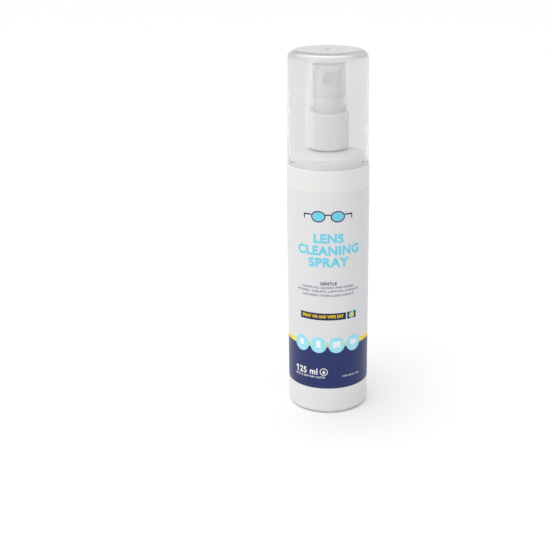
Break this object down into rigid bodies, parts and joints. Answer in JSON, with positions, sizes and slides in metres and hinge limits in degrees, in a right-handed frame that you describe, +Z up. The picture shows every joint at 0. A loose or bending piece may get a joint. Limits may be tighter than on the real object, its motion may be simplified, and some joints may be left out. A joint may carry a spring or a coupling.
{
  "type": "lens cleaning spray",
  "caption": "Slim white cylindrical spray bottle for lens and screen cleaner, with a screw-on fine-mist pump, a small clear hood over the nozzle and a large clear overcap.",
  "frame": {"origin": "centre of the bottle's base, on the plane that the foot ring stands on", "axes": "+Z up along the bottle's axis; the spray nozzle and the printed front face -Y; +X is to the right of someone who looks at the front"},
  "size_m": [0.0392, 0.0392, 0.1739],
  "materials": {
    "bottle_hdpe": "blow-moulded white HDPE, soft satin",
    "label_film": "printed white film label, semi-gloss",
    "pump_pp": "injection-moulded white PP, satin",
    "natural_pp": "natural milky PP",
    "tube_pe": "extruded natural PE tube",
    "clear_pp": "clear moulded PP, glossy with a faint haze",
    "gasket_foam": "soft white foamed PE",
    "seal_rubber": "black nitrile",
    "spring_steel": "drawn stainless wire",
    "ball_steel": "polished stainless"
  },
  "bodies": {
    "bottle": {"bottle": "bottle_hdpe", "label": "label_film"},
    "pump": {"pump_housing": "natural_pp", "neck_gasket": "gasket_foam", "turret_collar": "pump_pp", "stem_seal": "seal_rubber", "dip_tube": "tube_pe", "return_spring": "spring_steel"},
    "closure": {"closure": "pump_pp"},
    "stem": {"pump_stem": "natural_pp", "piston": "natural_pp", "stem_plug": "natural_pp"},
    "head": {"actuator": "pump_pp", "nozzle_insert": "pump_pp"},
    "inlet_ball": {"inlet_ball": "ball_steel"},
    "hood": {"actuator_hood": "clear_pp"},
    "overcap": {"overcap": "clear_pp"}
  },
  "joints": [
    {"name": "pump_rise", "type": "slide", "parent": "bottle", "child": "pump", "axis": [0, 0, 1], "range_m": [0, 0.00476]},
    {"name": "closure_unscrew", "type": "hinge", "parent": "pump", "child": "closure", "pos_m": [0, 0, 0.137], "axis": [0, 0, 1], "range_deg": [0, 540]},
    {"name": "head_press", "type": "slide", "parent": "pump", "child": "stem", "axis": [0, 0, -1], "range_m": [0, 0.0045], "stiffness_N_per_m": 800, "springref_m": -0.005, "deforming": ["return_spring"]},
    {"name": "head_swivel", "type": "hinge", "parent": "stem", "child": "head", "pos_m": [0, 0, 0.1545], "axis": [0, 0, 1], "continuous": true},
    {"name": "ball_lift", "type": "slide", "parent": "pump", "child": "inlet_ball", "axis": [0, 0, 1], "range_m": [0, 0.0007]},
    {"name": "hood_pull", "type": "slide", "parent": "pump", "child": "hood", "axis": [0, 0, 1], "range_m": [0, 0.03]},
    {"name": "overcap_pull", "type": "slide", "parent": "hood", "child": "overcap", "axis": [0, 0, 1], "range_m": [0, 0.06]}
  ],
  "couplings": [
    {"joint": "closure_unscrew", "follows": "pump_rise", "rad_per_m": 1979}
  ]
}
